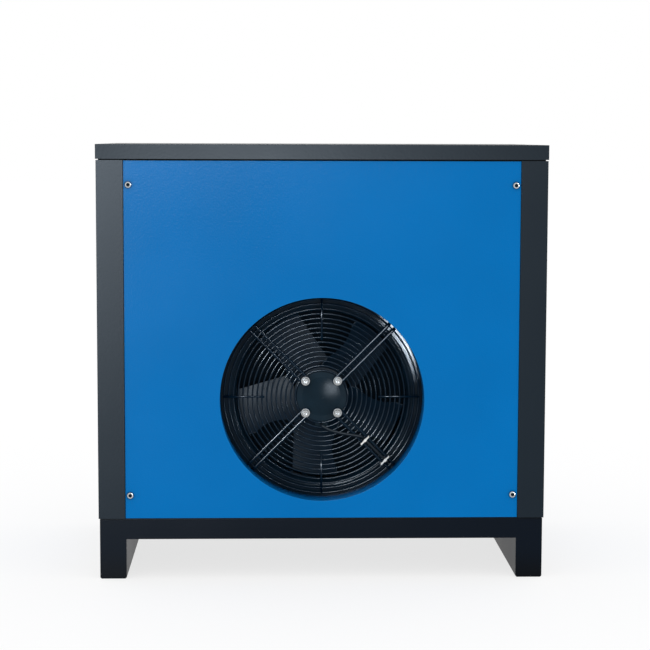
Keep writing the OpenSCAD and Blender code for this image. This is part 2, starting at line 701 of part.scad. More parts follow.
module auto_drain() color(BLACK) {
    along_y([port_x, hx_mid_y + 52, drain_z]) cylinder(h = 40, r = 12);
    box([port_x - 22, hx_mid_y + 58, drain_z + 8], [port_x + 22, hx_mid_y + 98, drain_z + 76]);
    along_x([port_x + 8, hx_mid_y + 78, drain_z]) cylinder(h = 16, r = 6);
}

drain_y = hx_mid_y + 78;
module drain_hose() color([0.15, 0.3, 0.6]) pipe([
    [port_x + 24, drain_y, drain_z], [drain_x, drain_y, drain_z], [drain_x, half_d - 26, drain_z]], 8, 16, 1.2);

module drain_outlet() color(BRASS) along_y([drain_x, half_d - 26, drain_z]) difference() {
    union() {
        cylinder(h = 23.8, r = 6.8);
        translate([0, 0, 12]) cylinder(h = 11.8, r = 11, $fn = 6);
        translate([0, 0, 25]) cylinder(h = 6, r = 11, $fn = 6);
        translate([0, 0, 20]) cylinder(h = 26, r = 6.8);
    }
    translate([0, 0, -1]) cylinder(h = 60, r = 4);
}

// ---------- electrical ----------
ebox_y0 = 150;
ebox_x0 = -322;
ebox_x1 = -98;
ebox_z0 = 512;
ebox_z1 = 668;
fascia_y = long_y;
module electrical_box() color(ZINC) difference() {
    box([ebox_x0, ebox_y0, ebox_z0], [ebox_x1, long_y - sheet, ebox_z1]);
    box([ebox_x0 + sheet, ebox_y0 + sheet, ebox_z0 + sheet], [ebox_x1 - sheet, half_d + 10, ebox_z1 - sheet]);
    along_x([ebox_x1 - 5, lead_in_y, lead_over]) cylinder(h = 10, r = 3.2);
}

module contactor() color(GREY) {
    box([-306, ebox_y0 + sheet, 530], [-256, ebox_y0 + 50, 600]);
    box([-300, ebox_y0 + 49, 545], [-262, ebox_y0 + 62, 585]);
}

module run_capacitor() color(STEEL) translate([-130, ebox_y0 + 24, ebox_z0 + sheet]) {
    cylinder(h = 84, r = 20);
    for (s = [-1, 1]) translate([s * 8, 0, 83]) cylinder(h = 9, r = 2.5);
}

module terminal_block() color(WHITE) difference() {
    box([-245, ebox_y0 + sheet, 532], [-165, ebox_y0 + 26, 560]);
    for (k = [0 : 5]) translate([-238 + 13.2 * k, ebox_y0 + 18, 546]) rotate([-90, 0, 0]) cylinder(h = 12, r = 4);
}

fascia_cx = -fascia_x;
gauge_r = 26;
gauge_x = [-276, -206];
gauge_z = 622;
switch_p = [-140, 0, 622];
button_p = [-140, 0, 558];
lamp_x = [-276, -236, -196];
lamp_z = 558;
module control_fascia() color(CHARCOAL) {
    difference() {
        box([fascia_cx - fascia_w / 2, fascia_y, fascia_z - fascia_h / 2],
            [fascia_cx + fascia_w / 2, fascia_y + 3, fascia_z + fascia_h / 2]);
        for (x = gauge_x) along_y([x, half_d - 10, gauge_z]) cylinder(h = 30, r = gauge_r + 0.3);
        box([switch_p.x - 11.6, half_d - 10, switch_p.z - 16.6],
            [switch_p.x + 11.6, half_d + 10, switch_p.z + 16.6]);
        along_y([button_p.x, half_d - 10, button_p.z]) cylinder(h = 30, r = 11.5);
        for (x = lamp_x) along_y([x, half_d - 10, lamp_z]) cylinder(h = 30, r = 8.3);
        fascia_corners() along_y([0, half_d - 10, 0]) cylinder(h = 30, r = 2.2);
    }
    for (s = [-1, 1]) translate([switch_p.x + s * 12.8, 0, switch_p.z])
        box([-1.2, half_d - 12, -10], [1.2, fascia_y + 0.5, 10]);
    along_x([switch_p.x - 12, switch_y, switch_p.z]) cylinder(h = 24, r = 1.5);
    along_y([button_p.x, half_d - 16, button_p.z]) tube(14, 11.3, 15.5);
}

switch_y = half_d - 2;
module power_switch() color(BLACK) translate([switch_p.x, switch_y, switch_p.z]) rotate([10, 0, 0])
    difference() {
        intersection() {
            along_x([-10.8, 0, 0]) cylinder(h = 21.6, r = 13.6);
            box([-11, -4, -13], [11, 13, 13]);
        }
        along_x([-12, 24, 0]) cylinder(h = 24, r = 17);
        along_x([-12, 0, 0]) cylinder(h = 24, r = 1.5 + fit);
    }

module start_button() color(GREEN) along_y([button_p.x, half_d - 12, button_p.z]) {
    cylinder(h = 22, r = 11);
    translate([0, 0, -8]) cylinder(h = 9, r = 4);
}

module indicator_lamps() color(RED) for (x = lamp_x) along_y([x, half_d - 24, lamp_z]) {
    cylinder(h = 26, r = 8);
    translate([0, 0, 26.4]) cylinder(h = 2, r = 10);
    translate([0, 0, 26]) cylinder(h = 6, r = 7);
}

gauge_y = half_d - 26;
module gauge_cases() color(STEEL) for (x = gauge_x) along_y([x, gauge_y, gauge_z]) difference() {
    union() {
        cylinder(h = 34, r = gauge_r);
        translate([0, 0, 28.4]) cylinder(h = 5.6, r = gauge_r + 4);
    }
    translate([0, 0, 24]) cylinder(h = 20, r = gauge_r - 2);
    translate([0, 0, 14]) cylinder(h = 20, r = 1 + fit);
}

module pointer(x) color(RED) along_y([x, gauge_y, gauge_z]) {
    translate([0, 0, 16]) cylinder(h = 11, r = 1);
    translate([0, 0, 25.5]) cylinder(h = 2, r = 3);
    rotate(45) translate([-6, -0.7, 26]) cube([25, 1.4, 0.8]);
}
module dewpoint_pointer() pointer(gauge_x[0]);
module pressure_pointer() pointer(gauge_x[1]);

module gauge_lenses() color([0.8, 0.9, 0.95, 0.4]) for (x = gauge_x)
    along_y([x, gauge_y + 30, gauge_z]) cylinder(h = 2, r = gauge_r - 2 - seat);

module cable_gland() color(BLACK) along_y([-gland_x, half_d - 14, gland_z]) difference() {
    union() {
        cylinder(h = 20, r = 10);
        translate([0, 0, 6.8]) cylinder(h = 5, r = 14, $fn = 6);
        translate([0, 0, 13]) cylinder(h = 6, r = 14, $fn = 6);
        translate([0, 0, 19]) cylinder(h = 16, r = 12);
    }
    translate([0, 0, -1]) cylinder(h = 50, r = 6);
}

// ---------- the parts ----------
in_cabinet() {
    base_frame();
    front_posts();
    rear_posts();
    top_frame();
    top_cover();
    fan_panel();
    rear_panel();
    left_panel();
    right_panel();
    panel_screws();
    fan_ring();
    fan_cowl();
    fan_guard();
    motor_bolts();
    motor_stator();
    motor_bearings();
    motor_shaft();
    rotor_shell();
    fan_impeller();
    motor_cable();
    cable_ties();
    condenser_fins();
    condenser_coil();
    condenser_plates();
    compressor_shell();
    compressor_grommets();
    compressor_bolts();
    terminal_cover();
    discharge_pipe();
    liquid_pipe();
    filter_drier();
    expansion_pipe();
    expansion_valve();
    suction_pipe();
    hot_gas_pipe();
    hot_gas_valve();
    pressure_switch();
    heat_exchanger();
    insulation_jacket();
    inlet_pipe();
    outlet_pipe();
    water_separator();
    ball_valve();
    valve_lever();
    auto_drain();
    drain_hose();
    drain_outlet();
    electrical_box();
    contactor();
    run_capacitor();
    terminal_block();
    control_fascia();
    power_switch();
    start_button();
    indicator_lamps();
    gauge_cases();
    dewpoint_pointer();
    pressure_pointer();
    gauge_lenses();
    cable_gland();
}
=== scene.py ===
import json
import math

import bmesh
import bpy
import numpy as np
from mathutils import Matrix, Vector


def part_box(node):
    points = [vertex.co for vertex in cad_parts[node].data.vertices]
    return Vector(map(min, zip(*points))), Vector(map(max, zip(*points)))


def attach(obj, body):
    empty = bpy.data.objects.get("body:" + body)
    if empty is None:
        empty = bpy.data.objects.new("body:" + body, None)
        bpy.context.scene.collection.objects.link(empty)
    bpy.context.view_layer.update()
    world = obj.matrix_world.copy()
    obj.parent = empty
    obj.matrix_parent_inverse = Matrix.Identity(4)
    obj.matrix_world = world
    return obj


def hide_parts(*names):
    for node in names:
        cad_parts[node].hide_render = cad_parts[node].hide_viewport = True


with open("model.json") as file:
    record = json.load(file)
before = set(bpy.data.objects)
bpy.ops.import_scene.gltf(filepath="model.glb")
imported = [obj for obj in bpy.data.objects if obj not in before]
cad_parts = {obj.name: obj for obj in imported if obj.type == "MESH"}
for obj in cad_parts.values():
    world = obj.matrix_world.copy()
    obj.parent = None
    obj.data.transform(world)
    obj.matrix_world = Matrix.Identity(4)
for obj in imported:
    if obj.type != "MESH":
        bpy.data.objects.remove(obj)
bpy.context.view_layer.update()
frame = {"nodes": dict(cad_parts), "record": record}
NODES = frame["nodes"]
SLOT_OF = {s["node"]: s["material_slot"] for s in frame["record"]["subparts"]}
MM = 0.001


# ---------- camera, light and floor ----------
# The camera looks at the fan side, which faces -Y.
LENS = 104.4
SENSOR_WIDTH = 36
CAMERA_AT = Vector((-0.102, -3.606, 0.791))
YAW, TILT, ROLL = (math.radians(a) for a in (1.83, 5.69, 0.17))

WORLD_STRENGTH = 1.0
FLOOR_HALF = 30
FLOOR_COLOR = (0.26, 0.26, 0.26)
FLOOR_GLOW = 0.75
COOL = (0.78, 0.89, 1.0)
SUBJECT = (-0.05, -0.27, 0.45)
# Sheens and glints on single pieces. at and target are in metres, side is the light's edge.
LIGHTS = {
    "sheen": {"at": (-0.7, -3.5, 1.62), "side": 1.6, "radiance": 46},
    "low_sheen": {"at": (-1.5, -3.5, 0.5), "side": 1.1, "radiance": 54},
    "cover_sheen": {"at": (-0.25, -3.5, 0.4), "side": 0.28, "height": 0.7, "radiance": 245},
    "fan_sheen": {"at": (-0.7, -3.5, 1.62), "side": 1.6, "radiance": 85},
    "rim": {"at": (2.2, -2.4, 2.8), "side": 0.35, "radiance": 250},
    "side": {"at": (2.6, -1.9, 0.5), "side": 0.5, "radiance": 90},
    "glint": {"at": (-0.88, -1.035, 0.79), "side": 0.08, "radiance": 3600},
    "bolt_light": {"at": (-1.1, -3.0, 1.3), "side": 1.3, "radiance": 15.0},
    "hub_light": {
        "at": (0.72, -3.17, 0.44), "target": (0, -0.27, 0.324), "side": 0.75, "radiance": 36,
    },
    "crescent": {
        "at": (0.225, -0.6, 0.409), "target": (0.225, 0, 0.409), "side": 0.125, "radiance": 340,
        "roll": 0.557,
    },
}


def make_camera():
    data = bpy.data.cameras.new("camera")
    data.lens = LENS
    data.sensor_width = SENSOR_WIDTH
    camera = bpy.data.objects.new("camera", data)
    level = math.cos(TILT)
    ahead = Vector((math.sin(YAW) * level, math.cos(YAW) * level, -math.sin(TILT)))
    right = Vector((math.cos(YAW), -math.sin(YAW), 0))
    up = right.cross(ahead)
    rolled_right = right * math.cos(ROLL) + up * math.sin(ROLL)
    rolled_up = up * math.cos(ROLL) - right * math.sin(ROLL)
    turn = Matrix((rolled_right, rolled_up, -ahead)).transposed().to_4x4()
    camera.matrix_world = Matrix.Translation(CAMERA_AT) @ turn
    bpy.context.scene.collection.objects.link(camera)
    bpy.context.scene.camera = camera


def softbox(name, receivers, at, side, radiance, target=SUBJECT, height=None, roll=0.0):
    """An area light that shines on the receivers alone and gives them only a gloss. The white
    surroundings light everything else."""
    data = bpy.data.lights.new(name, "AREA")
    data.shape = "RECTANGLE"
    data.size, data.size_y = side, height or side
    data.energy = radiance * math.pi * data.size * data.size_y
    data.color = COOL
    light = bpy.data.objects.new(name, data)
    light.visible_diffuse = False
    light.visible_camera = False
    direction = Vector(target) - Vector(at)
    turn = direction.to_track_quat("-Z", "Y").to_matrix().to_4x4() @ Matrix.Rotation(roll, 4, "Z")
    light.matrix_world = Matrix.Translation(at) @ turn
    bpy.context.scene.collection.objects.link(light)
    lit = bpy.data.collections.new(name + "_receivers")
    for obj in receivers:
        lit.objects.link(obj)
    light.light_linking.receiver_collection = lit


def make_world():
    world = bpy.data.worlds.new("studio")
    bpy.context.scene.world = world
    world.use_nodes = True
    background = world.node_tree.nodes["Background"]
    background.inputs["Color"].default_value = (1, 1, 1, 1)
    background.inputs["Strength"].default_value = WORLD_STRENGTH


def make_floor():
    low, high = -FLOOR_HALF, FLOOR_HALF
    corners = [(low, low, 0), (high, low, 0), (high, high, 0), (low, high, 0)]
    mesh = bpy.data.meshes.new("floor")
    mesh.from_pydata(corners, [], [(0, 1, 2, 3)])
    floor = bpy.data.objects.new("floor", mesh)
    bpy.context.scene.collection.objects.link(floor)
    floor.data.materials.append(paper("floor_white", FLOOR_COLOR, FLOOR_GLOW))


# ---------- material helpers ----------
# The colour sockets of a mix node, and the rays of the bevel and occlusion nodes.
COLOR_A, COLOR_B, COLOR_OUT = 6, 7, 2
RAY_SAMPLES = 6


class Shader:
    """A node material on object coordinates, in metres, with short names for its nodes."""

    def __init__(self, name):
        self.material = bpy.data.materials.new(name)
        self.material.use_nodes = True
        self.tree = self.material.node_tree
        self.bsdf = self.tree.nodes["Principled BSDF"]
        self.coords = self.node("ShaderNodeTexCoord").outputs["Object"]

    def node(self, kind, **inputs):
        made = self.tree.nodes.new(kind)
        for key, value in inputs.items():
            made.inputs[key.replace("_", " ")].default_value = value
        return made

    def link(self, a, b):
        self.tree.links.new(a, b)

    def stretched(self, scale):
        mapping = self.node("ShaderNodeMapping", Scale=scale)
        self.link(self.coords, mapping.inputs["Vector"])
        return mapping.outputs["Vector"]

    def noise(self, scale, detail=2.0, vector=None, roughness=0.5):
        noise = self.node("ShaderNodeTexNoise", Scale=scale, Detail=detail, Roughness=roughness)
        self.link(vector or self.coords, noise.inputs["Vector"])
        return noise.outputs["Fac"]

    def cells(self, scale):
        voronoi = self.node("ShaderNodeTexVoronoi", Scale=scale)
        self.link(self.coords, voronoi.inputs["Vector"])
        return voronoi.outputs

    def spread(self, value, low, high, start=0.3, end=0.7):
        """Maps start to end onto low to high."""
        ranged = self.node("ShaderNodeMapRange")
        limits = {"From Min": start, "From Max": end, "To Min": low, "To Max": high}
        for key, number in limits.items():
            ranged.inputs[key].default_value = number
        self.link(value, ranged.inputs["Value"])
        return ranged.outputs["Result"]

    def mix(self, factor, a, b):
        mixed = self.node("ShaderNodeMix")
        mixed.data_type = "RGBA"
        self.link(factor, mixed.inputs["Factor"])
        for socket, value in ((mixed.inputs[COLOR_A], a), (mixed.inputs[COLOR_B], b)):
            if isinstance(value, tuple):
                socket.default_value = (*value, 1)
            else:
                self.link(value, socket)
        return mixed.outputs[COLOR_OUT]

    def edges(self, radius):
        """1 near sharp edges and 0 on flat faces, with the rounded normal."""
        bevel = self.node("ShaderNodeBevel", Radius=radius)
        bevel.samples = RAY_SAMPLES
        flat = self.node("ShaderNodeNewGeometry").outputs["Normal"]
        dot = self.node("ShaderNodeVectorMath")
        dot.operation = "DOT_PRODUCT"
        self.link(bevel.outputs["Normal"], dot.inputs[0])
        self.link(flat, dot.inputs[1])
        return self.spread(dot.outputs["Value"], 1, 0, 0.8, 0.98), bevel.outputs["Normal"]

    def recess(self, reach):
        """1 in the open, falling to 0 deep in a hollow. It masks painted shade."""
        occlusion = self.node("ShaderNodeAmbientOcclusion", Distance=reach)
        occlusion.samples = RAY_SAMPLES
        return self.spread(occlusion.outputs["AO"], 0, 1, 0.55, 0.98)

    def bump(self, height, strength, distance, normal=None):
        bump = self.node("ShaderNodeBump", Strength=strength, Distance=distance)
        self.link(height, bump.inputs["Height"])
        if normal is not None:
            self.link(normal, bump.inputs["Normal"])
        return bump.outputs["Normal"]

    def put(self, **socket_shades):
        for key, value in socket_shades.items():
            socket = self.bsdf.inputs[key.replace("_", " ")]
            if isinstance(value, bpy.types.NodeSocket):
                self.link(value, socket)
            elif isinstance(value, tuple):
                socket.default_value = (*value, 1)
            else:
                socket.default_value = value


def scaled(color, factor):
    return tuple(c * factor for c in color)


def paper(name, color, glow):
    """White paper lit from below, as on a light table."""
    s = Shader(name)
    s.put(
        Base_Color=s.mix(s.noise(3.0), scaled(color, 0.985), color),
        Roughness=0.9,
        Specular_IOR_Level=0.0,
        Emission_Color=(1, 1, 1),
        Emission_Strength=glow,
    )
    return s.material


def powder_coat(name, color, roughness, peel, specular, edge_wear_and_highlight, edge=0.5 * MM):
    """Baked powder coat: faint mottling, an orange-peel surface and painted shade in recesses.
    edge_wear_and_highlight is the colour at the edges, wear on the paint and a painted highlight;
    the edges are as wide as edge says."""
    s = Shader(name)
    tone = s.mix(s.spread(s.noise(5.0, 3), 0, 1), scaled(color, 0.96), scaled(color, 1.04))
    # Painted shade: the colour falls towards a fifth of itself in recesses up to 60 mm deep.
    shaded = s.mix(s.recess(60 * MM), scaled(color, 0.22), tone)
    mask, rounded = s.edges(edge)
    # The edge colour, mixed in here, is wear on the paint and a painted highlight along the edges.
    wear_and_highlit_edges = s.mix(s.spread(mask, 0, 0.5, 0, 1), shaded, edge_wear_and_highlight)
    peel_height = s.noise(260.0, 2)
    s.put(
        Base_Color=wear_and_highlit_edges,
        Roughness=s.spread(s.noise(7.0, 1), roughness - 0.01, roughness + 0.02),
        Specular_IOR_Level=specular,
        Normal=s.bump(peel_height, peel, 0.5 * MM, rounded),
    )
    return s.material


def enamel(name, color, roughness, specular=0.25):
    """Wet paint, smoother than powder coat."""
    s = Shader(name)
    tone = s.spread(s.noise(30.0, 4), 0, 1)
    s.put(
        Specular_IOR_Level=specular,
        Base_Color=s.mix(tone, scaled(color, 0.85), scaled(color, 1.2)),
        Roughness=s.spread(s.noise(45.0, 4), roughness, roughness + 0.1),
        Normal=s.bump(s.noise(180.0, 3), 0.12, 0.3 * MM),
    )
    return s.material


def bare_metal(name, color, roughness, grain=(1, 1, 1)):
    """Metal with streaks along the grain and painted shade in its small hollows."""
    s = Shader(name)
    streak = s.noise(220.0, 4, s.stretched(grain))
    streaked = s.mix(s.spread(streak, 0, 1), scaled(color, 0.8), color)
    s.put(
        # Painted shade: the colour falls to under a fifth in hollows up to 3 mm deep.
        Base_Color=s.mix(s.recess(3 * MM), scaled(color, 0.18), streaked),
        Metallic=1.0,
        Roughness=s.spread(streak, roughness, roughness + 0.14),
        Normal=s.bump(streak, 0.05, 0.1 * MM),
    )
    return s.material


def galvanised(name, color):
    """Zinc-dipped sheet with its spangle."""
    s = Shader(name)
    spangle = s.cells(70.0)["Color"]
    s.put(
        Base_Color=s.mix(s.spread(spangle, 0, 1, 0.2, 0.8), scaled(color, 0.72), color),
        Metallic=1.0,
        Roughness=s.spread(spangle, 0.3, 0.5, 0.2, 0.8),
        Normal=s.bump(s.noise(90.0, 3), 0.04, 0.2 * MM),
    )
    return s.material


def tarnished(name, color):
    """Copper or brass with dull patches."""
    s = Shader(name)
    tarnish = s.spread(s.noise(14.0, 6, roughness=0.65), 0, 1)
    s.put(
        Base_Color=s.mix(tarnish, color, scaled(color, 0.5)),
        Metallic=1.0,
        Roughness=s.spread(tarnish, 0.22, 0.5, 0, 1),
        Normal=s.bump(s.noise(160.0, 3), 0.06, 0.2 * MM),
    )
    return s.material


def moulded(name, color, roughness, grain=0.25, specular=0.3):
    """Plastic or rubber with the mould's fine grain."""
    s = Shader(name)
    tone = s.spread(s.noise(25.0, 4), 0, 1)
    s.put(
        Specular_IOR_Level=specular,
        Base_Color=s.mix(tone, scaled(color, 0.88), scaled(color, 1.12)),
        Roughness=s.spread(s.noise(70.0, 3), roughness - 0.06, roughness + 0.08),
        Normal=s.bump(s.noise(900.0, 2), grain, 0.08 * MM),
    )
    return s.material


def foam(name, color):
    """Closed-cell pipe foam."""
    s = Shader(name)
    pores = s.cells(420.0)["Distance"]
    s.put(
        Base_Color=s.mix(s.spread(s.noise(18.0, 5), 0, 1), scaled(color, 0.8), scaled(color, 1.35)),
        Roughness=0.92,
        Normal=s.bump(pores, 0.5, 0.6 * MM),
    )
    return s.material


def clear(name, color):
    """Glass with the faintest haze."""
    s = Shader(name)
    s.put(
        Base_Color=color,
        Roughness=s.spread(s.noise(40.0, 3), 0.02, 0.06),
        Transmission_Weight=1.0,
        IOR=1.5,
    )
    return s.material


CHARCOAL = (0.0070, 0.0140, 0.0220)
BASE_CHARCOAL = (0.0002, 0.0032, 0.0090)
BLUE = (0.0, 0.157, 0.468)
PEEL = 0.17
# In the powder coats the colour after the specular level is the edge colour: wear on the paint and
# a painted highlight. The blue's is much lighter and 1 mm wide, a painted highlight on the folded
# edges as well as wear.
FINISHES = {
    "charcoal_powder_coat": (powder_coat, CHARCOAL, 0.34, PEEL, 0.078, (0.05, 0.06, 0.07)),
    "blue_powder_coat": (powder_coat, BLUE, 0.22, 0.4, 0.033, (0.05, 0.34, 0.80), 1.0 * MM),
    "zinc_plated_steel": (bare_metal, (0.54, 0.56, 0.57), 0.12),
    "black_enamel": (enamel, (0.0040, 0.0135, 0.0250), 0.26, 0.05),
    "black_wire_coat": (enamel, (0.0015, 0.0100, 0.0220), 0.16, 0.09),
    "galvanised_sheet": (galvanised, (0.62, 0.64, 0.65)),
    "bearing_steel": (bare_metal, (0.62, 0.62, 0.62), 0.18, (1, 0.05, 1)),
    "black_pvc": (moulded, (0.004, 0.009, 0.015), 0.45, 0.15, 0.08),
    "white_nylon": (moulded, (0.86, 0.86, 0.83), 0.4, 0.1),
    # The condenser fins' near-black enamel is painted shade for the dark inside behind the fan, not
    # the colour of bare aluminium fins.
    "aluminium_fins": (enamel, (0.005, 0.012, 0.020), 0.5, 0.03),
    "copper_tube": (tarnished, (0.80, 0.42, 0.26)),
    "black_rubber": (moulded, (0.018, 0.018, 0.018), 0.75, 0.5),
    "grey_plastic": (moulded, (0.30, 0.31, 0.32), 0.5),
    "brass_fittings": (tarnished, (0.80, 0.62, 0.28)),
    "stainless_steel": (bare_metal, (0.66, 0.66, 0.66), 0.24, (0.1, 4, 4)),
    "black_foam": (foam, (0.018, 0.018, 0.02)),
    "grey_enamel": (enamel, (0.22, 0.23, 0.24), 0.35),
    "red_grip": (moulded, (0.55, 0.02, 0.02), 0.35, 0.15),
    "black_plastic": (moulded, (0.016, 0.016, 0.018), 0.45),
    "blue_hose": (moulded, (0.02, 0.08, 0.35), 0.25, 0.05),
    "green_plastic": (moulded, (0.02, 0.30, 0.06), 0.3, 0.1),
    "red_lens": (moulded, (0.5, 0.02, 0.015), 0.15, 0.05),
    "clear_glass": (clear, (0.95, 0.98, 1.0)),
}
MATERIALS = {slot: make(slot, *values) for slot, (make, *values) in FINISHES.items()}

# Nodes that look different from the rest of their slot.
OWN_MATERIALS = {
    "base_frame": powder_coat(
        "charcoal_base_coat", BASE_CHARCOAL, 0.34, PEEL, 0.055, (0.04, 0.05, 0.06)
    ),
    "fan_ring": enamel("ring_enamel", (0.0040, 0.0135, 0.0250), 0.08, 0.05),
    "fan_impeller": enamel("impeller_enamel", (0.0030, 0.0155, 0.0330), 0.46, 0.08),
    "motor_stator": enamel("stator_enamel", (0.0060, 0.0165, 0.0270), 0.14, 0.05),
}


def dress_nodes():
    for node, obj in NODES.items():
        obj.data.materials.clear()
        obj.data.materials.append(OWN_MATERIALS.get(node, MATERIALS[SLOT_OF[node]]))
        for face in obj.data.polygons:
            face.material_index = 0


# ---------- mesh helpers ----------
def ring_faces(count, sides, closed):
    """Quads between neighbouring rings of points, and from the last ring to the first if closed."""
    faces = []
    for i in range(count if closed else count - 1):
        a, b = i * sides, (i + 1) % count * sides
        for k in range(sides):
            j = (k + 1) % sides
            faces.append((a + k, a + j, b + j, b + k))
    return faces


def end_caps(count, sides):
    """One face over the first ring of points and one over the last."""
    start = (count - 1) * sides
    return [tuple(range(sides - 1, -1, -1)), tuple(start + k for k in range(sides))]


def tube(path, radius, sides, closed=False):
    points = [Vector(p) for p in path]
    count = len(points)
    if closed:
        ends = [(points[i - 1], points[(i + 1) % count]) for i in range(count)]
    else:
        ends = [(points[max(i - 1, 0)], points[min(i + 1, count - 1)]) for i in range(count)]
    tangents = [(after - before).normalized() for before, after in ends]
    normal = tangents[0].orthogonal().normalized()
    vertices = []
    for point, tangent in zip(points, tangents):
        normal = (normal - tangent * normal.dot(tangent)).normalized()
        side = tangent.cross(normal)
        for k in range(sides):
            angle = 2 * math.pi * k / sides
            vertices.append(point + (normal * math.cos(angle) + side * math.sin(angle)) * radius)
    faces = ring_faces(count, sides, closed)
    return vertices, faces if closed else faces + end_caps(count, sides)


def lathe(profile, steps, radius_at=None):
    """Turns (radius, height) points about Z. radius_at(index, angle, radius) may bend a ring out
    of round."""
    vertices = []
    for index, (radius, height) in enumerate(profile):
        for k in range(steps):
            angle = 2 * math.pi * k / steps
            r = radius_at(index, angle, radius) if radius_at else radius
            vertices.append(Vector((r * math.cos(angle), r * math.sin(angle), height)))
    return vertices, ring_faces(len(profile), steps, False) + end_caps(len(profile), steps)


def arc_strip(profile, start, end, steps=24):
    """A closed profile swept about Z from start to end, in degrees, with both ends capped."""
    vertices = []
    for t in np.linspace(math.radians(start), math.radians(end), steps):
        vertices += [(r * math.cos(t), r * math.sin(t), h) for r, h in profile]
    return vertices, ring_faces(steps, len(profile), False) + end_caps(steps, len(profile))


def brick(low, high, bevel):
    """A box with bevelled edges."""
    mesh = bmesh.new()
    bmesh.ops.create_cube(mesh, size=1)
    middle, size = (Vector(low) + Vector(high)) / 2, Vector(high) - Vector(low)
    for v in mesh.verts:
        v.co = Vector(v.co[i] * size[i] for i in range(3)) + middle
    edges = list(mesh.edges)
    bmesh.ops.bevel(mesh, geom=edges, offset=bevel, segments=2, profile=0.5, affect="EDGES")
    mesh.verts.index_update()
    vertices = [v.co.copy() for v in mesh.verts]
    faces = [tuple(v.index for v in f.verts) for f in mesh.faces]
    mesh.free()
    return vertices, faces


class Shape:
    """Gathers the vertices and faces of several parts into one mesh."""

    def __init__(self):
        self.vertices = []
        self.faces = []

    def add(self, part, place):
        vertices, faces = part
        start = len(self.vertices)
        self.vertices += [place @ Vector(v) for v in vertices]
        self.faces += [tuple(i + start for i in face) for face in faces]

    def piece(self, name, slot, smooth=True, split=None):
        """A piece on the cabinet. Edges sharper than split, in degrees, stay sharp."""
        obj = new_piece(name, self.vertices, self.faces, slot, smooth)
        if split is not None:
            obj.modifiers.new("edges", "EDGE_SPLIT").split_angle = math.radians(split)
        return obj


def new_piece(name, vertices, faces, slot, smooth=True):
    mesh = bpy.data.meshes.new(name)
    mesh.from_pydata([tuple(v) for v in vertices], [], faces)
    mesh.validate()
    mesh.update()
    for face in mesh.polygons:
        face.use_smooth = smooth
    obj = bpy.data.objects.new(name, mesh)
    bpy.context.scene.collection.objects.link(obj)
    obj.data.materials.append(MATERIALS[slot])
    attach(obj, "cabinet")
    return obj


def turned(angle, axis):
    return Matrix.Rotation(angle, 4, axis)


def facing(at, direction, spin=0.0):
    """Places a part drawn along +Z so that its +Z points in the direction."""
    turn = Vector(direction).to_track_quat("Z", "Y").to_matrix().to_4x4()
    return Matrix.Translation(Vector(at)) @ turn @ turned(spin, "Z")


def in_mm(profile):
    return [(r * MM, h * MM) for r, h in profile]


def circle_path(radius, y, steps):
    turn = np.linspace(0, 2 * math.pi, steps, endpoint=False)
    return [(radius * math.cos(t), y, radius * math.sin(t)) for t in turn]


def rounded_path(corners, radius, steps=6):
    """The corner points joined by straight runs, each inner corner rounded to the radius."""
    points = [Vector(c) for c in corners]
    path = [points[0]]
    for before, here, after in zip(points, points[1:], points[2:]):
        a, b = (here - before).normalized(), (after - here).normalized()
        turn = a.angle(b)
        side = (b - a * a.dot(b)).normalized()
        start = here - a * radius * math.tan(turn / 2)
        for k in range(steps + 1):
            t = turn * k / steps
            path.append(start + side * radius * (1 - math.cos(t)) + a * radius * math.sin(t))
    return path + [points[-1]]


def hexagon(angle, flat):
    """Distance from a hexagon's centre to its edge, for half its width across flats."""
    return flat / math.cos((angle + math.pi / 6) % (math.pi / 3) - math.pi / 6)


# ---------- the fan guard ----------
RING_LOW, RING_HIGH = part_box("fan_ring")
FAN_AT = (RING_LOW + RING_HIGH) / 2
FLANGE_Y = RING_LOW.y
WIRE_PLANE = FLANGE_Y - 6.9 * MM
SPOKE_PLANE = FLANGE_Y - 10.5 * MM
SHORT_PLANE = SPOKE_PLANE + 1.1 * MM
RING_WIRE = 1.5 * MM
SPOKE_WIRE = 2.5 * MM
SHORT_WIRE = 1.9 * MM
FIRST_RING = 47.5 * MM
RING_PITCH = 8.6 * MM
RING_COUNT = 16
BOLT_CIRCLE = 41 * MM
SPOKE_HALF = 6.25 * MM
SPOKE_END = 180 * MM
SPOKE_BEND = 5 * MM
SHORT_ENDS = (103 * MM, 177 * MM)
DIAGONALS = (45, 135, 225, 315)
UPRIGHTS = (0, 90, 180, 270)
ON_AXIS = Matrix.Translation((FAN_AT.x, 0, FAN_AT.z))


def spin(degrees):
    return ON_AXIS @ turned(math.radians(degrees), "Y")


def gap_radius(k):
    """The middle of the gap after ring k."""
    return FIRST_RING + RING_PITCH * (k + 0.5)


def hairpin_path():
    """One wire from the ring plate to the hub, round the bolt and back."""
    bend = [
        (BOLT_CIRCLE + SPOKE_HALF * math.cos(t), SPOKE_PLANE, SPOKE_HALF * math.sin(t))
        for t in np.linspace(math.pi / 2, 3 * math.pi / 2, 13)
    ]
    foot = (SPOKE_END, FLANGE_Y, SPOKE_HALF)
    shoulder = (SPOKE_END, SPOKE_PLANE, SPOKE_HALF)
    leg = rounded_path([foot, shoulder, bend[0]], SPOKE_BEND)[:-1]
    return leg + bend + [Vector((p.x, p.y, -p.z)) for p in reversed(leg)]


def build_guard():
    shape = Shape()
    for k in range(RING_COUNT):
        ring = circle_path(FIRST_RING + RING_PITCH * k, WIRE_PLANE, 120)
        shape.add(tube(ring, RING_WIRE, 8, True), ON_AXIS)
    for degrees in DIAGONALS:
        shape.add(tube(hairpin_path(), SPOKE_WIRE, 12), spin(degrees))
    short = [(r, SHORT_PLANE, 0) for r in SHORT_ENDS]
    for degrees in UPRIGHTS:
        shape.add(tube(short, SHORT_WIRE, 10), spin(degrees))
    guard = shape.piece("guard_wires", "black_wire_coat")
    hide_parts("fan_guard")
    return guard


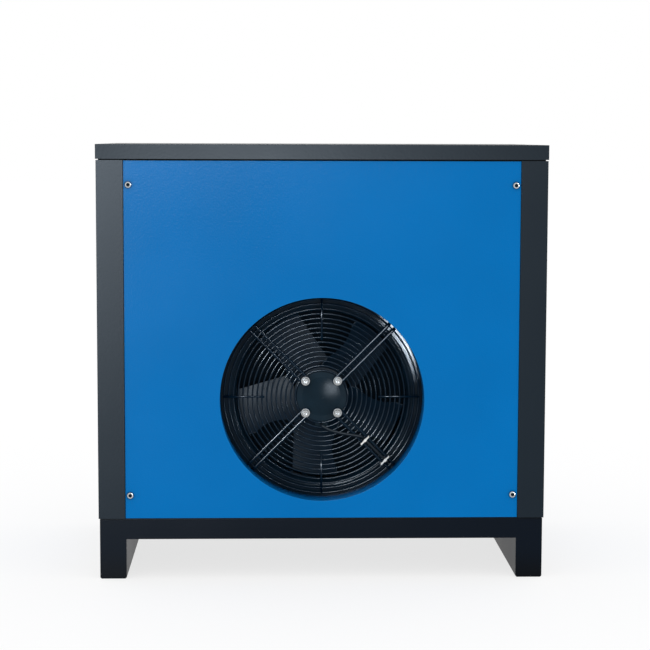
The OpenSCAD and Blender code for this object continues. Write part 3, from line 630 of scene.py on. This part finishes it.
# ---------- cable ties ----------
# Each tie is drawn with X across the hairpin, Y in depth and Z along it.
TIED_GAPS = (7, 13)
TIE_HALF_X = 9.3 * MM
TIE_HALF_Y = 4.1 * MM
TIE_CORNER = 2.2 * MM
TIE_WIDTH = 2.5 * MM
TIE_THICK = 0.8 * MM
TIE_HEAD = ((-2.3 * MM, -8.2 * MM, -2.2 * MM), (2.3 * MM, -4.6 * MM, 2.2 * MM))
TIE_TAIL = ((0, -0.5 * MM, -1.2 * MM), (9 * MM, 0.5 * MM, 1.2 * MM))
TAIL_AT = (2 * MM, -6.9 * MM, 0)
TAIL_TURN = math.radians(-6)


def tie_band():
    """A closed band of rectangular section round the wires."""
    outline = []
    for cx, cy, start in ((1, 1, 0), (-1, 1, 90), (-1, -1, 180), (1, -1, 270)):
        middle = Vector((cx * (TIE_HALF_X - TIE_CORNER), cy * (TIE_HALF_Y - TIE_CORNER)))
        for t in np.linspace(0, 90, 6):
            a = math.radians(start + t)
            n = Vector((math.cos(a), math.sin(a)))
            outline.append((middle + n * TIE_CORNER, n))
    vertices = []
    for grow, z in ((0, -1), (TIE_THICK, -1), (TIE_THICK, 1), (0, 1)):
        vertices += [(*(p + n * grow), z * TIE_WIDTH / 2) for p, n in outline]
    return vertices, ring_faces(4, len(outline), True)


def build_ties():
    """Each tie loops round both wires of the lower right hairpin and the lead between them."""
    shape = Shape()
    for k in TIED_GAPS:
        gap = Matrix.Translation((gap_radius(k), SPOKE_PLANE, 0))
        place = spin(45) @ gap @ turned(math.pi / 2, "Y")
        shape.add(tie_band(), place)
        shape.add(brick(*TIE_HEAD, 0.5 * MM), place)
        tail = place @ Matrix.Translation(TAIL_AT) @ turned(TAIL_TURN, "Z")
        shape.add(brick(*TIE_TAIL, 0.25 * MM), tail)
    ties = shape.piece("tie_straps", "white_nylon", False)
    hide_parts("cable_ties")
    return ties


# ---------- motor lead ----------
# Its route: out of the terminal stub, along the lower right hairpin, back through the ring plate
# and the cowl, and up into the electrical box. It repeats the route drawn in the CAD model.
LEAD_D = 5 * MM
LEAD_BEND = 5 * MM
LEAD_START = SPOKE_PLANE + SPOKE_WIRE + 3.4 * MM
LEAD_FRONT = FLANGE_Y - 16 * MM
LEAD_MID = FLANGE_Y - 11.6 * MM
LEAD_BACK = FLANGE_Y + 14 * MM
LEAD_IN = 180 * MM
LEAD_SIDE = 236 * MM
LEAD_OVER = -80 * MM
LEAD_END = -112 * MM
LEAD_TOP = 600 * MM
LEAD_GAP = 14


def lead_path():
    def on_spoke(radius, y):
        return (FAN_AT.x + radius * math.sqrt(0.5), y, FAN_AT.z - radius * math.sqrt(0.5))

    stub = FAN_AT.z - gap_radius(0)
    tied = gap_radius(TIED_GAPS[0])
    gap = gap_radius(LEAD_GAP)
    return rounded_path(
        [
            (0, LEAD_START, stub),
            (0, LEAD_FRONT, stub),
            (14 * MM, LEAD_FRONT, FAN_AT.z - 60 * MM),
            (36 * MM, LEAD_FRONT, FAN_AT.z - 66 * MM),
            on_spoke(tied - 10.4 * MM, LEAD_FRONT),
            on_spoke(tied - 3.9 * MM, LEAD_MID),
            on_spoke(gap, LEAD_MID),
            on_spoke(gap, LEAD_BACK),
            (LEAD_SIDE, LEAD_BACK, on_spoke(gap, 0)[2]),
            (LEAD_SIDE, LEAD_BACK, LEAD_TOP),
            (LEAD_OVER, LEAD_BACK, LEAD_TOP),
            (LEAD_OVER, LEAD_IN, LEAD_TOP),
            (LEAD_END, LEAD_IN, LEAD_TOP),
        ],
        LEAD_BEND,
    )


def build_lead():
    path = lead_path()
    lead = new_piece("motor_lead", *tube(path, LEAD_D / 2, 16), "black_pvc")
    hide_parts("motor_cable")
    return lead


# ---------- motor bolts ----------
# Profiles are (radius, height) in millimetres from the washer's back. The head's first HEX_POINTS
# points are bent to a hexagon. Where the radius is BOLT_R, half its width across flats is
# BOLT_FLAT.
WASHER = ((3.2, 0), (7.6, 0), (8.0, 0.3), (8.0, 1.1), (7.7, 1.4), (5.9, 1.4), (5.9, 1.5))
BOLT_HEAD = (
    (5.6, 1.4), (5.7, 1.5), (5.7, 4.6), (5.0, 5.3), (3.4, 5.4), (3.0, 4.9), (2.4, 4.6), (0.2, 4.6),
)
BOLT_SHANK = ((3, -13), (3, 0.5))
BOLT_FLAT = 5.0
BOLT_R = 5.7
HEX_POINTS = 3


def build_motor_bolts():
    shape = Shape()

    def hexed(index, angle, radius):
        return hexagon(angle, BOLT_FLAT) * radius / BOLT_R if index < HEX_POINTS else radius

    for number, degrees in enumerate(DIAGONALS):
        at = spin(degrees) @ Vector((BOLT_CIRCLE, SPOKE_PLANE - SPOKE_WIRE, 0))
        place = facing(at, (0, -1, 0), 0.5 + 0.9 * number)
        shape.add(lathe(in_mm(WASHER), 40), place)
        shape.add(lathe(in_mm(BOLT_HEAD), 48, hexed), place)
        shape.add(lathe(in_mm(BOLT_SHANK), 20), place)
    bolts = shape.piece("bolts_and_washers", "zinc_plated_steel", split=35)
    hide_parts("motor_bolts")
    return bolts


# ---------- screws ----------
SCREW_IN = 57.5 * MM
HEAD_R = 6.2 * MM
PANEL_HEAD = 3.0 * MM
PANEL_SCREW = {"radius": HEAD_R, "height": PANEL_HEAD, "shank": 2.5 * MM, "length": 17 * MM}
FASCIA_SCREW = {"radius": 3.6 * MM, "height": 2 * MM, "shank": 1.9 * MM, "length": 10 * MM}
FASCIA_IN = 5 * MM
# Shares of the head's radius and height, from its seat over the button and down into the socket,
# which has flats from point FIRST_FLAT on.
BUTTON = (
    (0.97, 0), (1.0, 0.08), (0.99, 0.3), (0.9, 0.62), (0.8, 0.84), (0.71, 0.96), (0.62, 1.0),
    (0.56, 0.9), (0.54, 0.3), (0.02, 0.28),
)
FIRST_FLAT = 6
COVER_LOW, COVER_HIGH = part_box("top_cover")
COVER_MID = (COVER_LOW + COVER_HIGH) / 2


def screw_places():
    """Each panel screw's seat and the way it faces."""
    low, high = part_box("panel_screws")
    seat_x = high.x - PANEL_HEAD
    seat_y = COVER_MID.y - low.y - PANEL_HEAD
    across_x = COVER_HIGH.x - SCREW_IN
    across_y = COVER_HIGH.y - COVER_MID.y - SCREW_IN
    for z in (low.z + HEAD_R, high.z - HEAD_R):
        for s in (-1, 1):
            for t in (-1, 1):
                yield Vector((s * across_x, COVER_MID.y + t * seat_y, z)), Vector((0, t, 0))
                yield Vector((s * seat_x, COVER_MID.y + t * across_y, z)), Vector((s, 0, 0))


def add_screw(shape, socket_shades, place, radius, height, shank, length):
    """A button-head screw with a hexagon socket, drawn with its head towards +Z. A dark disc of
    painted shade goes on the socket's floor.
    """

    def socket(index, angle, r):
        return r if index < FIRST_FLAT else hexagon(angle, r * math.cos(math.pi / 6))

    shape.add(lathe([(a * radius, b * height) for a, b in BUTTON], 48, socket), place)
    shape.add(lathe([(shank, -length), (shank, 0.1 * height)], 16), place)
    floor = [(0.5 * radius, 0.3 * height), (0.5 * radius, 0.4 * height)]
    socket_shades.add(lathe(floor, 6), place @ turned(math.pi / 6, "Z"))


def build_screws():
    shape, socket_shades = Shape(), Shape()
    for number, (at, out) in enumerate(screw_places()):
        add_screw(shape, socket_shades, facing(at, out, 0.7 * number), **PANEL_SCREW)
    low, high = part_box("control_fascia")
    columns = (low.x + FASCIA_IN, high.x - FASCIA_IN)
    rows = (low.z + FASCIA_IN, high.z - FASCIA_IN)
    for number, (x, z) in enumerate((x, z) for x in columns for z in rows):
        place = facing((x, high.y, z), (0, 1, 0), 0.5 * number)
        add_screw(shape, socket_shades, place, **FASCIA_SCREW)
    screws = shape.piece("screw_heads", "zinc_plated_steel", split=40)
    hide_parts("panel_screws")
    # The dark discs on the socket floors are painted shade in the sockets.
    socket_shades.piece("screw_socket_shades", "black_enamel", False)
    return screws


# ---------- gauge dials ----------
# Profiles are (radius, height) in millimetres from the dial's floor.
DIAL_FLOOR = 10 * MM
DIAL = ((23.6, 0), (23.6, 0.2), (1.4, 0.3), (1.3, 0))
DIAL_SWEEP = 270
TICKS = 31
TICKS_PER_MAJOR = 5
TICK_OUTER = 21.8 * MM
MAJOR_TICK = (17.4 * MM, 0.7 * MM)
MINOR_TICK = (19.6 * MM, 0.35 * MM)
BAND = ((22.6, 0.1), (22.6, 0.4), (23.3, 0.4), (23.3, 0.1))
BAND_START, BAND_END = 315, 372


def build_dials():
    """A white dial with plain ticks behind each pointer, and a red band at its high end."""
    low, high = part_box("gauge_cases")
    z = (low.z + high.z) / 2
    radius = (high.z - low.z) / 2
    plates, ticks, bands = Shape(), Shape(), Shape()
    for x in (low.x + radius, high.x - radius):
        place = facing((x, high.y - DIAL_FLOOR, z), (0, 1, 0))
        plates.add(lathe(in_mm(DIAL), 64), place)
        for k in range(TICKS):
            inner, half = MINOR_TICK if k % TICKS_PER_MAJOR else MAJOR_TICK
            angle = 45 + DIAL_SWEEP * (1 - k / (TICKS - 1))
            tick = brick((-half, -TICK_OUTER, 0.1 * MM), (half, -inner, 0.45 * MM), 0.08 * MM)
            ticks.add(tick, place @ turned(math.radians(angle), "Z"))
        bands.add(arc_strip(in_mm(BAND), BAND_START, BAND_END), place)
    plates.piece("dial_plates", "white_nylon", False)
    ticks.piece("dial_ticks", "black_plastic", False)
    bands.piece("dial_bands", "red_grip", False)


# ---------- the scene ----------
bpy.context.scene.view_settings.view_transform = "Standard"
make_camera()
make_world()
make_floor()
dress_nodes()
guard = build_guard()
ties = build_ties()
lead = build_lead()
bolts = build_motor_bolts()
screws = build_screws()
build_dials()

front = [NODES[name] for name in ("fan_panel", "front_posts", "base_frame")]
inside = [guard, ties, lead, NODES["fan_impeller"], NODES["fan_ring"]]
receivers = {
    "sheen": front,
    "low_sheen": front,
    "cover_sheen": [NODES["top_cover"]],
    "fan_sheen": inside,
    "rim": [*inside, bolts, screws],
    "side": [*inside, bolts, screws],
    "glint": [guard],
    "bolt_light": [bolts],
    "hub_light": [NODES["motor_stator"]],
    "crescent": [NODES["fan_ring"]],
}
for name, setting in LIGHTS.items():
    softbox(name, receivers[name], **setting)
